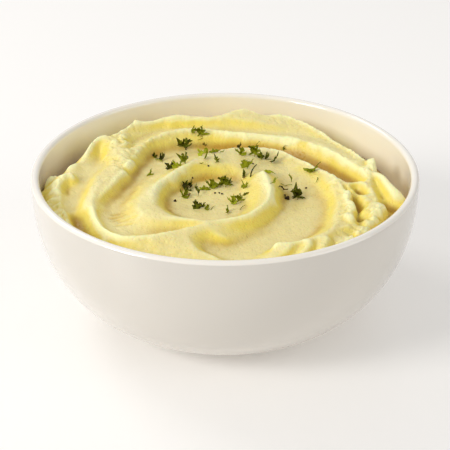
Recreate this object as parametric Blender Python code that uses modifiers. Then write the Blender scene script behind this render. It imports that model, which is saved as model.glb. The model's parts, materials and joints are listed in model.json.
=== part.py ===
"""A bowl of mashed potato: a turned ceramic bowl and the mash in it, swirled by a spoon.

Metres, +Z up.  The origin is on the bowl's axis, at the level that it stands on.
"""

import math

import bmesh
import bpy
import numpy as np

# Bowl
RIM_RADIUS = 0.080
BOWL_HEIGHT = 0.064
FOOT_RADIUS = 0.030
FOOT_WIDTH = 0.005
RECESS_DEPTH = 0.0015
WALL = 0.0036
FLOOR_THICKNESS = 0.0055
# How full the wall's curve is: 2 is an ellipse, more is squarer.
FULLNESS_OUT = 1.95
FULLNESS_UP = 2.38
WALL_POINTS = 10
LIP_POINTS = 4
BOWL_STEPS = 60

# Mash
GAP = 0.0003  # between the mash and the bowl
GRID = 46  # cells along each side of the mash's surface
SIDE_RINGS = 4
MAX_LEVEL = 0.0635  # no crest stands higher than this
PLAN_HALF = 78  # millimetres from the axis to the side of the square plan that the relief is drawn on
EDGE_BAND = 2.5  # millimetres of that plan that lie along the bowl's wall
LINE_STEPS = 3  # points to each millimetre of a line
SKIN_BLOCKS = (16, 8, 4, 2, 1)  # sizes of the plan's cells in millimetres, coarse to fine
SKIN_PASSES = 160
ROUNDING = 1.3  # millimetres over which crests and creases are rounded

# The mash's level along the bowl's wall in millimetres, every 15 degrees anticlockwise from +X.
EDGE_LEVELS = (
    46.5, 46, 47, 48, 49, 49.5, 50, 49, 48, 46.5, 46, 48,
    50.5, 51, 52, 53, 53.5, 54, 54.5, 55, 55, 54, 53.5, 56.5,
)

# What the spoon left, as lines of (x, y, level) in millimetres: crests, floors and the feet of
# walls.  The mash is a skin stretched through them all.
MARKS = {
    # the outer curl, from its right end round the back to the front
    "great_curl": (
        (58, -13, 59.5), (57, 3, 60), (51, 16, 60), (37, 32, 60.5), (16, 40, 60.5), (-6, 46, 60.5),
        (-24, 44, 60.5), (-34, 33, 60.5), (-40, 16, 60), (-47, 2, 60.5), (-53, -13, 60),
        (-52, -29, 59.5), (-46, -46, 59.5), (-31, -51.5, 60), (-15, -45, 60), (-7, -41.5, 60),
    ),
    "great_flank": (
        (57, 27, 58.5), (39, 41, 58), (20, 47, 58), (0, 51, 57), (-20, 53, 57), (-35, 44, 57),
        (-43, 30, 58),
    ),
    "ring_floor": (
        (54, -2, 54), (42, 17, 52), (22, 32, 52), (-6, 36, 54), (-24, 32, 54.5), (-35, 13, 55.5),
        (-41, -10, 55.5),
    ),
    "channel_floor": (
        (-39, -6, 55.5), (-42, -13, 55.5), (-44.5, -21, 55.5), (-45, -29, 56), (-43, -37, 56),
        (-38, -42, 56.5),
    ),
    "channel_end": (
        (-38, -42.5, 56), (-31, -43.5, 56), (-23, -43, 56.5), (-15, -41.5, 57), (-9, -41, 58.5),
    ),
    # the inner curl, round the pool to its raised end
    "small_curl": (
        (53, -32, 56), (56, -23, 59), (52, -12, 60.5), (45, 1, 60.5), (36, 11, 60.5), (27, 21.5, 60.5),
        (16, 26.5, 60.5), (1, 26, 60.5), (-4, 23, 60.5),
    ),
    "small_curl_back": (
        (-4, 23, 60.5), (-11, 17, 61), (-16, 10, 61), (-20, 5, 61), (-23.5, -0.5, 60.5),
    ),
    "small_curl_left": (
        (-23.5, -0.5, 60.5), (-26, -8, 60.5), (-27.5, -16, 60.5), (-28, -23, 60.5), (-26, -30, 60),
        (-21, -35.5, 60),
    ),
    "small_curl_front": (
        (-21, -35.5, 60), (-4, -39, 60), (10, -34, 60.5), (17.5, -24, 61), (19, -14, 62), (17, -3, 63),
        (15.5, 1, 63),
    ),
    "small_flank_back": (
        (30, 22, 57.5), (22, 29, 57.5), (12, 31.5, 57), (0, 30, 57), (-9, 25, 57), (-17, 18, 57.5),
        (-24, 9, 57.5), (-28, 1, 58),
    ),
    "small_shoulder": (
        (-21, 1, 60.5), (-28, -7, 60.5), (-32.5, -15, 60), (-35, -23.5, 59.5), (-34, -31, 59.5),
        (-28, -37, 59.5), (-21, -39, 59.5),
    ),
    "small_foot_left": (
        (-34, -3, 57.5), (-38.5, -13, 57), (-40.5, -22, 57), (-39.5, -31, 57), (-35, -38, 57),
    ),
    "small_back": ((-18, 4.5, 61), (-12, 13.5, 61), (-5, 18.5, 61), (2, 20, 61), (9, 20, 60)),
    "pool_foot": (
        (8, -22, 55.5), (-6, -31, 55), (-21, -24, 55), (-24, -11.5, 54.5), (-18, -1, 54.5),
        (-8, 6, 54.5), (3.5, 4, 55.5), (6, -8, 56.5), (8, -22, 55.5), (8, -22, 55.5),
    ),
    "pool_floor": ((-16, -15, 54), (-8, -14, 54), (1, -12, 54.5)),
    "tongue_body": ((15, -19, 60), (14.5, -13, 60.5), (13.5, -8, 61), (12, -3, 61)),
    "behind_tongue": (
        (9, 8, 59), (13, 10, 58.5), (18, 10.5, 58), (22, 7, 57), (24, 0, 56.5), (25, -8, 55.5),
    ),
    # the dish on the right, open to the front
    "dish_back": (
        (16, 19, 59.5), (22, 15, 58.5), (28, 9.5, 58), (33, 3.5, 57), (37, -4, 56), (39, -11, 55.5),
    ),
    "dish_floor": (
        (31, -11, 55), (32, -22, 54.5), (29, -33, 54), (21, -41, 54), (12, -46, 54), (5, -51, 54),
        (-1, -53, 54.5), (-5, -52, 55),
    ),
    "dish_foot_right": (
        (39, -11, 55.5), (40, -20, 55), (38.5, -29, 55), (35, -38, 54.5), (30, -46, 54.5),
        (24, -50, 54.5),
    ),
    "small_foot_front": (
        (0, -45.5, 57), (7, -43, 55.5), (13, -38, 55), (19, -31, 54.5), (23, -21, 55), (24, -12, 55),
    ),
    "dish_wall_in": (
        (41.5, -3, 60), (44, -11, 59.5), (45, -19, 59.5), (45, -28, 59.5), (44, -37, 59.5),
        (42, -44, 59.5), (39, -49, 60),
    ),
    "dish_wall_out": (
        (46, -6, 60.5), (48.5, -14, 60.5), (50, -22, 60.5), (50.5, -30, 60), (50, -37, 59.5),
        (48, -43, 58.5),
    ),
    "valley": (
        (49, -9, 58), (51, -13, 56.5), (52.5, -18, 55), (53.5, -23, 53.5), (53.5, -28, 52.5),
        (53, -34, 52.5),
    ),
    "front_rim": (
        (19, -57, 62), (20.5, -56.5, 60.5), (24, -56, 60), (28, -55.5, 60), (32, -53.5, 60),
        (36, -51, 60), (40, -47.5, 60),
    ),
    "front_rim_end": ((19.5, -56.5, 60.5), (18, -60, 58.5), (14.5, -63, 57), (10, -66, 56)),
    "front_rim_foot": ((7, -62, 55), (13, -58, 55), (16.5, -54.5, 55), (20, -52.5, 55), (27, -50, 55)),
    "scoop_edge": (
        (-8, -42.5, 59.5), (-11, -46, 59.5), (-13.5, -49, 59.5), (-14, -53, 59), (-12, -57, 58.5),
        (-9, -60.5, 58), (-4, -63.5, 57.5), (2, -66, 56.5),
    ),
    "scoop_wall": (
        (-6.5, -48.5, 56), (-8, -51.5, 55.5), (-7, -55.5, 55), (-2.5, -59.5, 54.5), (5, -62, 54.5),
    ),
    # the rim of torn mash round the back
    "back_rim": (
        (62, 13, 60.5), (54, 25, 60.5), (46, 38, 61), (38, 49.5, 61.5), (30, 58, 62), (22, 60, 61.5),
        (14.5, 60.5, 62), (8, 65, 62.5), (0, 60, 61.5), (-9, 58, 61), (-21, 60, 61.5), (-31, 54.5, 61),
        (-39, 53, 62), (-42, 50.5, 61.5), (-46.5, 43, 61), (-49, 39, 60.5),
    ),
    "back_ledge": (
        (27, 48.5, 59.5), (20, 51, 60), (14, 53, 60.5), (8, 55, 61), (2, 56.5, 61), (-5, 56, 60.5),
        (-11, 55, 60.5), (-18, 54.5, 60.5), (-25, 53, 60),
    ),
    "back_dip": (
        (57, 16, 59), (52, 25, 59), (46, 34, 59), (39, 43, 59), (32, 50, 59.5), (24, 54.5, 60.5),
        (15, 56.5, 61),
    ),
    "back_out": (
        (64, 21, 51), (49, 46, 53), (22, 65, 56.5), (-8, 66, 57), (-38, 58, 57), (-55, 41, 56.5),
    ),
    # the left, with its long smooth channel
    "left_corner": (
        (-61, 19, 58), (-59.5, 25, 60), (-58, 30, 61.5), (-55.5, 35, 62), (-52.5, 36, 62.5),
        (-50, 32, 62), (-49.5, 26, 61), (-50, 20, 60),
    ),
    "left_corner_hollow": (
        (-54.5, 30.5, 59), (-54.5, 27, 57), (-54.5, 22, 56), (-55.5, 17, 56.5), (-56, 12, 57),
    ),
    "mound_ridge": ((-50, 36, 61), (-47.5, 31, 61.5), (-45, 26, 61.5), (-43, 20, 61), (-42, 14, 61)),
    "left_out": ((-65, 20, 55.5), (-62, 28, 56), (-59, 36, 56.5)),
    "long_channel": (
        (-55, 14, 57.5), (-57, 8, 57), (-59, 0, 57), (-60.5, -9, 56.5), (-61.5, -17, 56),
        (-62, -24, 55),
    ),
    "plateau_edge": (
        (-51, 10, 59.5), (-54, 3, 59), (-56, -5, 59), (-57, -14, 59), (-57.5, -22, 58.5),
        (-58.5, -27, 58),
    ),
    "pit": ((-60, -27, 53.5), (-58.5, -33, 52), (-55, -40, 51), (-50, -47, 51.5), (-44, -54, 52.5)),
    "left_curl": (
        (-67.5, -14, 58.5), (-69, -7.5, 60), (-67.5, -1.5, 61), (-65, 1.5, 61), (-62.5, -0.5, 60.5),
        (-61.5, -3.5, 59.5),
    ),
    "left_ridge": (
        (-67, -14, 58.5), (-66.5, -20, 58), (-64.5, -26, 57.5), (-62, -32, 56.5), (-59, -38, 55.5),
    ),
    "left_rim": ((-73.5, -15, 56.5), (-73.5, -9, 57.5), (-72, -4, 58), (-70.5, 0, 59), (-68, 2, 59)),
    # the right, beside the wall
    "spine": (
        (61, 9, 61), (60, 5, 61), (59.5, 0, 60.5), (59.5, -6, 60.5), (60, -12, 60), (60.5, -18, 60),
        (61, -22.5, 59), (59.5, -26, 58),
    ),
    "lobe": ((62, 1.5, 60.5), (64, -3, 61.5), (65.5, -9, 61.5), (67, -14, 61), (69, -18, 59.5)),
    "lobe_foot": ((65, -19.5, 55), (67.5, -22.5, 54), (71, -24, 53.5)),
    "right_out": ((64, 17, 49), (67.5, 10, 47.5), (70, 3, 47), (71.5, -4, 47), (72.5, -10, 49.5)),
    "right_corner": ((64, -30, 55.5), (58, -38, 55.5), (51, -47, 55.5), (45, -54, 56)),
}


def clear_scene():
    for old in list(bpy.data.objects):
        bpy.data.objects.remove(old, do_unlink=True)


def new_collection(name):
    made = bpy.data.collections.new(name)
    bpy.context.scene.collection.children.link(made)
    return made


def new_material(name, color, roughness):
    made = bpy.data.materials.new(name)
    made.use_nodes = True
    shader = made.node_tree.nodes["Principled BSDF"]
    shader.inputs["Base Color"].default_value = (*color, 1.0)
    shader.inputs["Roughness"].default_value = roughness
    shader.inputs["Metallic"].default_value = 0.0
    return made


def add_object(name, mesh, material, collection):
    made = bpy.data.objects.new(name, mesh)
    mesh.materials.append(material)
    collection.objects.link(made)
    return made


# ---- the bowl's two wall curves ----

def wall_curve(foot, rim, bottom, top, turn):
    """A point of a bowl's wall: turn is 0 at the foot, where it is level, and 1 at the rim."""
    angle = turn * math.pi / 2
    radius = foot + (rim - foot) * math.sin(angle) ** (2 / FULLNESS_OUT)
    level = bottom + (top - bottom) * (1 - math.cos(angle) ** (2 / FULLNESS_UP))
    return radius, level


def outer_wall(turn):
    return wall_curve(FOOT_RADIUS, RIM_RADIUS, 0.0, BOWL_HEIGHT - WALL / 2, turn)


def inner_wall(turn):
    inside_foot = FOOT_RADIUS - WALL / 2
    return wall_curve(inside_foot, RIM_RADIUS - WALL, FLOOR_THICKNESS, BOWL_HEIGHT - WALL / 2, turn)


def inner_radius(level):
    """The radius of the bowl's inside at a level."""
    share = (level - FLOOR_THICKNESS) / (BOWL_HEIGHT - WALL / 2 - FLOOR_THICKNESS)
    cosine = (1 - share) ** (FULLNESS_UP / 2)
    return inner_wall(math.acos(cosine) / (math.pi / 2))[0]


def bowl_profile():
    """From the middle of the inside, up over the lip, and down to the middle of the underside."""
    points = [(0.0, FLOOR_THICKNESS)]
    points += [inner_wall(i / WALL_POINTS) for i in range(WALL_POINTS + 1)]
    for i in range(1, LIP_POINTS):
        angle = math.pi * (1 - i / LIP_POINTS)
        radius = RIM_RADIUS - WALL / 2 + WALL / 2 * math.cos(angle)
        points.append((radius, BOWL_HEIGHT - WALL / 2 + WALL / 2 * math.sin(angle)))
    points += [outer_wall(1 - i / WALL_POINTS) for i in range(WALL_POINTS + 1)]
    points += [
        (FOOT_RADIUS - FOOT_WIDTH, 0.0),
        (FOOT_RADIUS - FOOT_WIDTH - RECESS_DEPTH, RECESS_DEPTH),
        (0.0, RECESS_DEPTH),
    ]
    return points


def build_bowl(collection):
    points = bowl_profile()
    mesh = bpy.data.meshes.new("bowl")
    edges = [(i, i + 1) for i in range(len(points) - 1)]
    mesh.from_pydata([(radius, 0.0, level) for radius, level in points], edges, [])
    glaze = new_material("white_glaze", (0.86, 0.84, 0.80), 0.15)
    bowl = add_object("bowl", mesh, glaze, collection)
    screw = bowl.modifiers.new("turned", "SCREW")
    screw.steps = screw.render_steps = BOWL_STEPS
    screw.use_merge_vertices = True
    screw.merge_threshold = 0.00001
    screw.use_smooth_shade = True
    return bowl


# ---- the mash's relief, in millimetres ----

def along(values, shares):
    """A smooth curve through evenly spaced values, at shares of the way along them."""
    values = np.array(values, float)
    ends = np.concatenate([[2 * values[0] - values[1]], values, [2 * values[-1] - values[-2]]])
    place = shares * (len(values) - 1)
    i = np.minimum(place.astype(int), len(values) - 2)
    t = place - i
    before, here, there, after = (ends[i + k] for k in range(4))
    return 0.5 * (
        2 * here
        + (there - before) * t
        + (2 * before - 5 * here + 4 * there - after) * t ** 2
        + (3 * here - 3 * there + after - before) * t ** 3
    )


def draw_marks():
    """The square plan's levels where a mark or the wall sets them, and which cells those are."""
    count = 2 * PLAN_HALF + 1
    total, level = np.zeros((count, count)), np.zeros((count, count))
    for path in MARKS.values():
        length = np.hypot(*np.diff(np.array(path)[:, :2], axis=0).T).sum()
        shares = np.linspace(0, 1, int(length * LINE_STEPS) + 2)
        x, y, z = (along([point[axis] for point in path], shares) for axis in range(3))
        cells = tuple(np.clip(np.rint(side + PLAN_HALF).astype(int), 0, count - 1) for side in (y, x))
        np.add.at(total, cells, 1)
        np.add.at(level, cells, z)
    level /= np.maximum(total, 1)
    x, y = np.meshgrid(*[np.arange(count) - PLAN_HALF] * 2)
    wall = np.hypot(x, y) >= PLAN_HALF - EDGE_BAND
    turns = np.arctan2(y, x)[wall] / (2 * math.pi) % 1
    level[wall] = along(EDGE_LEVELS + EDGE_LEVELS[:1], turns)
    return level, wall | (total > 0)


def stretch_skin(level, known):
    """Fills in the cells between the known ones as a stretched skin would, coarse cells first."""
    skin = last = None
    for block in SKIN_BLOCKS:
        count = len(level) // block
        size, cut = count * block, (count, block, count, block)
        weight = known[:size, :size].reshape(cut).sum((1, 3))
        held = weight > 0
        fixed = (level * known)[:size, :size].reshape(cut).sum((1, 3)) / np.maximum(weight, 1)
        if skin is None:
            skin = np.full((count, count), fixed[held].mean())
        else:
            index = np.minimum(np.arange(count) * block // last, len(skin) - 1)
            skin = skin[np.ix_(index, index)]
        for _ in range(SKIN_PASSES):
            skin[held] = fixed[held]
            ring = np.pad(skin, 1, mode="edge")
            skin = (ring[:-2, 1:-1] + ring[2:, 1:-1] + ring[1:-1, :-2] + ring[1:-1, 2:]) / 4
        skin[held] = fixed[held]
        last = block
    return skin


def rounded(sheet):
    """Rounds off the sheet's crests and creases."""
    span = int(ROUNDING * 3) + 1
    weights = np.exp(-0.5 * (np.arange(-span, span + 1) / ROUNDING) ** 2)
    weights /= weights.sum()
    for axis in (0, 1):
        padded = np.pad(sheet, [(span, span) if k == axis else (0, 0) for k in (0, 1)], mode="edge")
        moved = [np.take(padded, range(k, k + len(sheet)), axis) for k in range(len(weights))]
        sheet = sum(weight * part for weight, part in zip(weights, moved))
    return sheet


def level_at(sheet, x, y):
    """The sheet's level between its cells, in metres for a place in metres."""
    column, row = x * 1000 + PLAN_HALF, y * 1000 + PLAN_HALF
    j, i = min(int(column), len(sheet) - 2), min(int(row), len(sheet) - 2)
    s, t = column - j, row - i
    near = sheet[i, j] * (1 - s) + sheet[i, j + 1] * s
    far = sheet[i + 1, j] * (1 - s) + sheet[i + 1, j + 1] * s
    return (near * (1 - t) + far * t) / 1000


# ---- the mash's solid ----

def square_to_disc(x, y):
    """Moves a point of the square -1..1 to the unit disc, so that square rings become round ones."""
    reach = max(abs(x), abs(y))
    if reach == 0:
        return 0.0, 0.0
    if abs(x) >= abs(y):
        angle = math.pi / 4 * y / x
        return x * math.cos(angle), x * math.sin(angle)
    angle = math.pi / 4 * x / y
    return y * math.sin(angle), y * math.cos(angle)


def shape_surface(mesh, sheet):
    """Turns a square grid into the mash's round surface, whose edge lies along the bowl."""
    edge_radius = inner_radius(np.mean(EDGE_LEVELS) / 1000) - GAP
    for vertex in mesh.verts:
        x, y = square_to_disc(vertex.co.x, vertex.co.y)
        x, y = x * edge_radius, y * edge_radius
        level = level_at(sheet, x, y)
        if vertex.is_boundary:
            fit = (inner_radius(level) - GAP) / math.hypot(x, y)
            x, y = x * fit, y * fit
        vertex.co = (x, y, min(level, MAX_LEVEL))


def close_below(mesh):
    """Carries the surface's edge down along the bowl's inside, and closes it over the floor."""
    rim = [edge for edge in mesh.edges if edge.is_boundary]
    bottom = FLOOR_THICKNESS + GAP
    tops = {}
    for ring in range(1, SIDE_RINGS + 1):
        made = bmesh.ops.extrude_edge_only(mesh, edges=rim)["geom"]
        rim = [item for item in made if isinstance(item, bmesh.types.BMEdge)]
        for vertex in {v for edge in rim for v in edge.verts}:
            angle = math.atan2(vertex.co.y, vertex.co.x)
            top = tops.setdefault(round(angle, 5), vertex.co.z)
            drop = smooth_drop(ring / SIDE_RINGS)
            level = top + (bottom - top) * drop
            radius = inner_radius(level - GAP * drop) - GAP
            vertex.co = (radius * math.cos(angle), radius * math.sin(angle), level)
    bmesh.ops.contextual_create(mesh, geom=rim)


def smooth_drop(share):
    """Spaces the rings closer where the bowl's wall turns under."""
    return math.sin(share * math.pi / 2)


def build_mash(collection):
    sheet = rounded(stretch_skin(*draw_marks()))
    mesh = bmesh.new()
    bmesh.ops.create_grid(mesh, x_segments=GRID, y_segments=GRID, size=1.0)
    shape_surface(mesh, sheet)
    close_below(mesh)
    bmesh.ops.recalc_face_normals(mesh, faces=mesh.faces)
    data = bpy.data.meshes.new("mashed_potato")
    mesh.to_mesh(data)
    mesh.free()
    data.shade_smooth()
    potato = new_material("buttered_potato", (0.88, 0.74, 0.36), 0.55)
    return add_object("mashed_potato", data, potato, collection)


def main():
    clear_scene()
    parts = new_collection("bowl_of_mashed_potato")
    build_bowl(parts)
    build_mash(parts)


main()
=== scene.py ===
import json
import math

import bmesh
import bpy
import numpy as np
from mathutils import Euler, Matrix, Vector, noise

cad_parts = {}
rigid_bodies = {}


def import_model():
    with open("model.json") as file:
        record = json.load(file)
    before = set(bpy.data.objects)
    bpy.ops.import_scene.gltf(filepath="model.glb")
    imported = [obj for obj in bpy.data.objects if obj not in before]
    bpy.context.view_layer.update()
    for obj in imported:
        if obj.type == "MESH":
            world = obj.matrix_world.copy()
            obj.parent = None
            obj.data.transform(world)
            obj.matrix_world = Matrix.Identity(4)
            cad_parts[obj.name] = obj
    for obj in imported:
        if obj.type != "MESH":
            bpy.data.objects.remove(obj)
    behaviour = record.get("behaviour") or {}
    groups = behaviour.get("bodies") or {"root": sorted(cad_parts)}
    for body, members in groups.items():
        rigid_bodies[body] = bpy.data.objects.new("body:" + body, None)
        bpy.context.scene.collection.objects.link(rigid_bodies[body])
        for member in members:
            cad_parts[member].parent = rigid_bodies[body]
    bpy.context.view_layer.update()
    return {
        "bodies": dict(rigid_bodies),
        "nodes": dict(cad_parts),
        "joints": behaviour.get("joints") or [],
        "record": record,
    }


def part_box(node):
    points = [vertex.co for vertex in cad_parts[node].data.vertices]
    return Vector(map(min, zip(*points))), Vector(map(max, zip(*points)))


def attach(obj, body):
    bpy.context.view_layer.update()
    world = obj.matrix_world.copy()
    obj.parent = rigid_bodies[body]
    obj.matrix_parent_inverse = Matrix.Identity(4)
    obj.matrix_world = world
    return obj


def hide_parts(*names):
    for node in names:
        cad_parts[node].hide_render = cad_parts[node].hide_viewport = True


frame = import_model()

# Mashed potato in its bowl. Lengths are metres; a share is of the rim's outer radius.
# Angles are degrees anticlockwise from +X, seen from above.
bowlLow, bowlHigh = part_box("bowl")
mashLow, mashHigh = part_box("mashed_potato")
rimRadius = (bowlHigh.x - bowlLow.x) / 2
rimLevel = bowlHigh.z
print("frame: rim", round(rimRadius * 2000), "mm across,", round(rimLevel * 1000), "mm high")

scene = bpy.context.scene
table = scene.collection

# ---------- camera and light

viewpoint = {
    "distance": 7.0,  # from the middle of the rim, in rim radii
    "elevation": 25.9,  # degrees above the rim's plane
    "lookDown": 28.37,  # degrees that the lens points below the level
    "lens": 108.2,
}


def placeCamera():
    lens = bpy.data.cameras.new("camera")
    lens.lens = viewpoint["lens"]
    lens.sensor_width = 36
    camera = bpy.data.objects.new("camera", lens)
    table.objects.link(camera)
    away = viewpoint["distance"] * rimRadius
    rise = math.radians(viewpoint["elevation"])
    camera.location = (0, -away * math.cos(rise), rimLevel + away * math.sin(rise))
    camera.rotation_euler = (math.radians(90 - viewpoint["lookDown"]), 0, 0)
    scene.camera = camera


studio = {
    # each lamp: where, what it aims at, watts, width and height of its panel, tint
    "key": {"at": (-1.10, -0.66, 0.78), "aim": (0, 0, 0.05), "power": 12.0, "panel": (0.5, 0.5),
            "tint": (1.0, 0.98, 0.95)},
    "rim": {"at": (-0.75, 0.62, 0.95), "aim": (0, 0, 0.05), "power": 3.8, "panel": (0.5, 0.5),
            "tint": (1.0, 0.99, 0.97)},
    "back": {"at": (0.0, 1.05, 0.52), "aim": (0, 0, 0.06), "power": 0.8, "panel": (1.3, 0.55),
             "tint": (1.0, 0.99, 0.98)},
    "fill": {"at": (1.1, -0.45, 0.55), "aim": (0, 0, 0.05), "power": 3.0, "panel": (0.8, 0.8),
             "tint": (1.0, 0.99, 0.98)},
    "sky": {"strength": 0.47, "tint": (0.99, 0.995, 1.0)},
}


def placeLights():
    for name in ("key", "rim", "back", "fill"):
        made = studio[name]
        lamp = bpy.data.lights.new(name, "AREA")
        lamp.energy = made["power"]
        lamp.shape = "RECTANGLE"
        lamp.size, lamp.size_y = made["panel"]
        lamp.color = made["tint"]
        held = bpy.data.objects.new(name, lamp)
        table.objects.link(held)
        held.location = made["at"]
        toAim = Vector(made["aim"]) - Vector(made["at"])
        held.rotation_euler = toAim.to_track_quat("-Z", "Y").to_euler()
    world = bpy.data.worlds.new("studio")
    scene.world = world
    world.use_nodes = True
    sky = world.node_tree.nodes["Background"]
    sky.inputs["Color"].default_value = (*studio["sky"]["tint"], 1)
    sky.inputs["Strength"].default_value = studio["sky"]["strength"]
    scene.view_settings.view_transform = "Standard"


placeCamera()
placeLights()
print("camera and light placed")

# ---------- small helpers


def addPiece(name, mesh, *materials):
    piece = bpy.data.objects.new(name, mesh)
    for material in materials:
        mesh.materials.append(material)
    table.objects.link(piece)
    return piece


def plainMaterial(name):
    material = bpy.data.materials.new(name)
    material.use_nodes = True
    return material, material.node_tree, material.node_tree.nodes["Principled BSDF"]


def addNode(tree, kind, links=None, **settings):
    # links: input name or number -> a socket or a plain value
    node = tree.nodes.new(kind)
    for key, value in settings.items():
        setattr(node, key, value)
    for key, value in (links or {}).items():
        if isinstance(value, bpy.types.NodeSocket):
            tree.links.new(value, node.inputs[key])
        else:
            node.inputs[key].default_value = value
    return node


def ramp(tree, factor, stops):
    node = addNode(tree, "ShaderNodeValToRGB", {"Fac": factor})
    band = node.color_ramp
    while len(band.elements) < len(stops):
        band.elements.new(0.5)
    for element, (place, color) in zip(band.elements, stops):
        element.position = place
        element.color = (*color, 1)
    return node.outputs["Color"]


def smoothStep(value, low, high):
    share = np.clip((value - low) / (high - low), 0, 1)
    return share * share * (3 - 2 * share)


def along(values, shares):
    # a Catmull-Rom curve through evenly spaced values, read at shares of its length
    values = np.asarray(values, float)
    last = len(values) - 1
    place = np.clip(np.asarray(shares) * last, 0, last)
    i = np.minimum(place.astype(int), last - 1)
    t = place - i
    padded = np.concatenate([[2 * values[0] - values[1]], values, [2 * values[-1] - values[-2]]])
    a, b, c, d = (padded[i + k] for k in range(4))
    return 0.5 * (
        2 * b + (c - a) * t + (2 * a - 5 * b + 4 * c - d) * t**2 + (3 * b - 3 * c + d - a) * t**3
    )


# ---------- the bowl

bowlShape = {
    "footRadius": 0.030,
    "footWidth": 0.005,
    "recess": 0.0015,
    "wall": 0.0036,
    "floor": 0.0055,
    "fullnessOut": 1.95,  # 2 is an ellipse, more is squarer
    "fullnessUp": 2.38,
    "wallPoints": 30,
    "lipPoints": 12,
    "steps": 160,
    "bare": 0.0007,  # how far up the foot the glaze stops
}


def wallPoint(foot, rim, bottom, turn):
    angle = turn * math.pi / 2
    top = rimLevel - bowlShape["wall"] / 2
    radius = foot + (rim - foot) * math.sin(angle) ** (2 / bowlShape["fullnessOut"])
    level = bottom + (top - bottom) * (1 - math.cos(angle) ** (2 / bowlShape["fullnessUp"]))
    return radius, level


def insidePoint(turn):
    wall = bowlShape["wall"]
    return wallPoint(bowlShape["footRadius"] - wall / 2, rimRadius - wall, bowlShape["floor"], turn)


def insideRadius(levels):
    # the radius of the bowl's inside at each level
    turns = np.linspace(0, 1, 400)
    curve = np.array([insidePoint(turn) for turn in turns])
    return np.interp(levels, curve[:, 1], curve[:, 0])


def bowlProfile():
    shape = bowlShape
    wall, count = shape["wall"], shape["wallPoints"]
    points = [(0.0, shape["floor"])]
    points += [insidePoint(i / count) for i in range(count + 1)]
    for i in range(1, shape["lipPoints"]):
        angle = math.pi * (1 - i / shape["lipPoints"])
        points.append((
            rimRadius - wall / 2 + wall / 2 * math.cos(angle),
            rimLevel - wall / 2 + wall / 2 * math.sin(angle),
        ))
    points += [wallPoint(shape["footRadius"], rimRadius, 0.0, 1 - i / count) for i in range(count + 1)]
    inner = shape["footRadius"] - shape["footWidth"]
    points += [(inner, 0.0), (inner - shape["recess"], shape["recess"]), (0.0, shape["recess"])]
    return points


# painted light and shade: one glaze, darker outside for its shaded face and lighter inside and along the top of the
# lip, as light inside the bowl and a painted highlight on the rim
glazeLook = {
    "color": (0.69, 0.65, 0.585),  # outside
    "inside": (0.93, 0.88, 0.80),
    "roughness": 0.16,
    "coat": 0.6,
    "ripple": 0.00004,  # how deep the glaze waves
}


def makeGlaze():
    look = glazeLook
    material, tree, shader = plainMaterial("warmWhiteGlaze")
    place = addNode(tree, "ShaderNodeTexCoord").outputs["Object"]
    broad = addNode(tree, "ShaderNodeTexNoise", {"Vector": place, "Scale": 22.0, "Detail": 3.0})
    # the 'inside' attribute marks where the lighter, painted-light colour goes
    side = addNode(tree, "ShaderNodeAttribute", attribute_name="inside").outputs["Fac"]
    tint = ramp(tree, side, [(0.0, look["color"]), (1.0, look["inside"])])
    tree.links.new(tint, shader.inputs["Base Color"])
    sheen = addNode(tree, "ShaderNodeMapRange", {
        "Value": broad.outputs["Fac"], "To Min": look["roughness"] - 0.03, "To Max": look["roughness"] + 0.04,
    })
    tree.links.new(sheen.outputs["Result"], shader.inputs["Roughness"])
    wave = addNode(tree, "ShaderNodeTexNoise", {"Vector": place, "Scale": 160.0, "Detail": 2.0})
    bump = addNode(tree, "ShaderNodeBump", {
        "Height": wave.outputs["Fac"], "Distance": look["ripple"], "Strength": 0.5,
    })
    tree.links.new(bump.outputs["Normal"], shader.inputs["Normal"])
    shader.inputs["Coat Weight"].default_value = look["coat"]
    shader.inputs["Coat Roughness"].default_value = 0.08
    shader.inputs["Subsurface Weight"].default_value = 0.08
    shader.inputs["Subsurface Radius"].default_value = (1.0, 0.8, 0.6)
    shader.inputs["Subsurface Scale"].default_value = 0.002
    return material


def makeBiscuit():
    # the unglazed clay that the foot stands on
    material, tree, shader = plainMaterial("bareClay")
    place = addNode(tree, "ShaderNodeTexCoord").outputs["Object"]
    specks = addNode(tree, "ShaderNodeTexNoise", {"Vector": place, "Scale": 900.0, "Detail": 4.0})
    tint = ramp(tree, specks.outputs["Fac"], [(0.3, (0.62, 0.56, 0.47)), (0.7, (0.72, 0.66, 0.57))])
    tree.links.new(tint, shader.inputs["Base Color"])
    bump = addNode(tree, "ShaderNodeBump", {"Height": specks.outputs["Fac"], "Distance": 0.0001, "Strength": 0.6})
    tree.links.new(bump.outputs["Normal"], shader.inputs["Normal"])
    shader.inputs["Roughness"].default_value = 0.9
    return material


def makeBowl():
    points = bowlProfile()
    mesh = bpy.data.meshes.new("servingBowl")
    mesh.from_pydata([(r, 0, z) for r, z in points], [(i, i + 1) for i in range(len(points) - 1)], [])
    bowl = addPiece("servingBowl", mesh)
    screw = bowl.modifiers.new("turned", "SCREW")
    screw.steps = screw.render_steps = bowlShape["steps"]
    screw.use_merge_vertices = True
    screw.merge_threshold = 0.00001
    turned = bpy.data.meshes.new_from_object(bowl.evaluated_get(bpy.context.evaluated_depsgraph_get()))
    bowl.modifiers.clear()
    bowl.data = turned
    turned.materials.append(makeGlaze())
    # painted highlight: the inside and a thin band along the top of the lip take the lighter colour
    rimHighlightLevel = rimLevel - bowlShape["wall"] * 0.3
    paintedLightGlaze = [float(-(c.normal.x * c.co.x + c.normal.y * c.co.y) > -0.002 and c.co.z > bowlShape["floor"] - 0.001 or c.co.z > rimHighlightLevel)
              for c in turned.vertices]
    turned.attributes.new("inside", "FLOAT", "POINT").data.foreach_set("value", paintedLightGlaze)
    turned.materials.append(makeBiscuit())
    for face in turned.polygons:
        face.material_index = int(face.center.z < bowlShape["bare"])
    turned.shade_smooth()
    turned.set_sharp_from_angle(angle=math.radians(40))
    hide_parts("bowl")
    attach(bowl, "root")
    return bowl


makeBowl()
print("bowl turned")

# ---------- the mash

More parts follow.
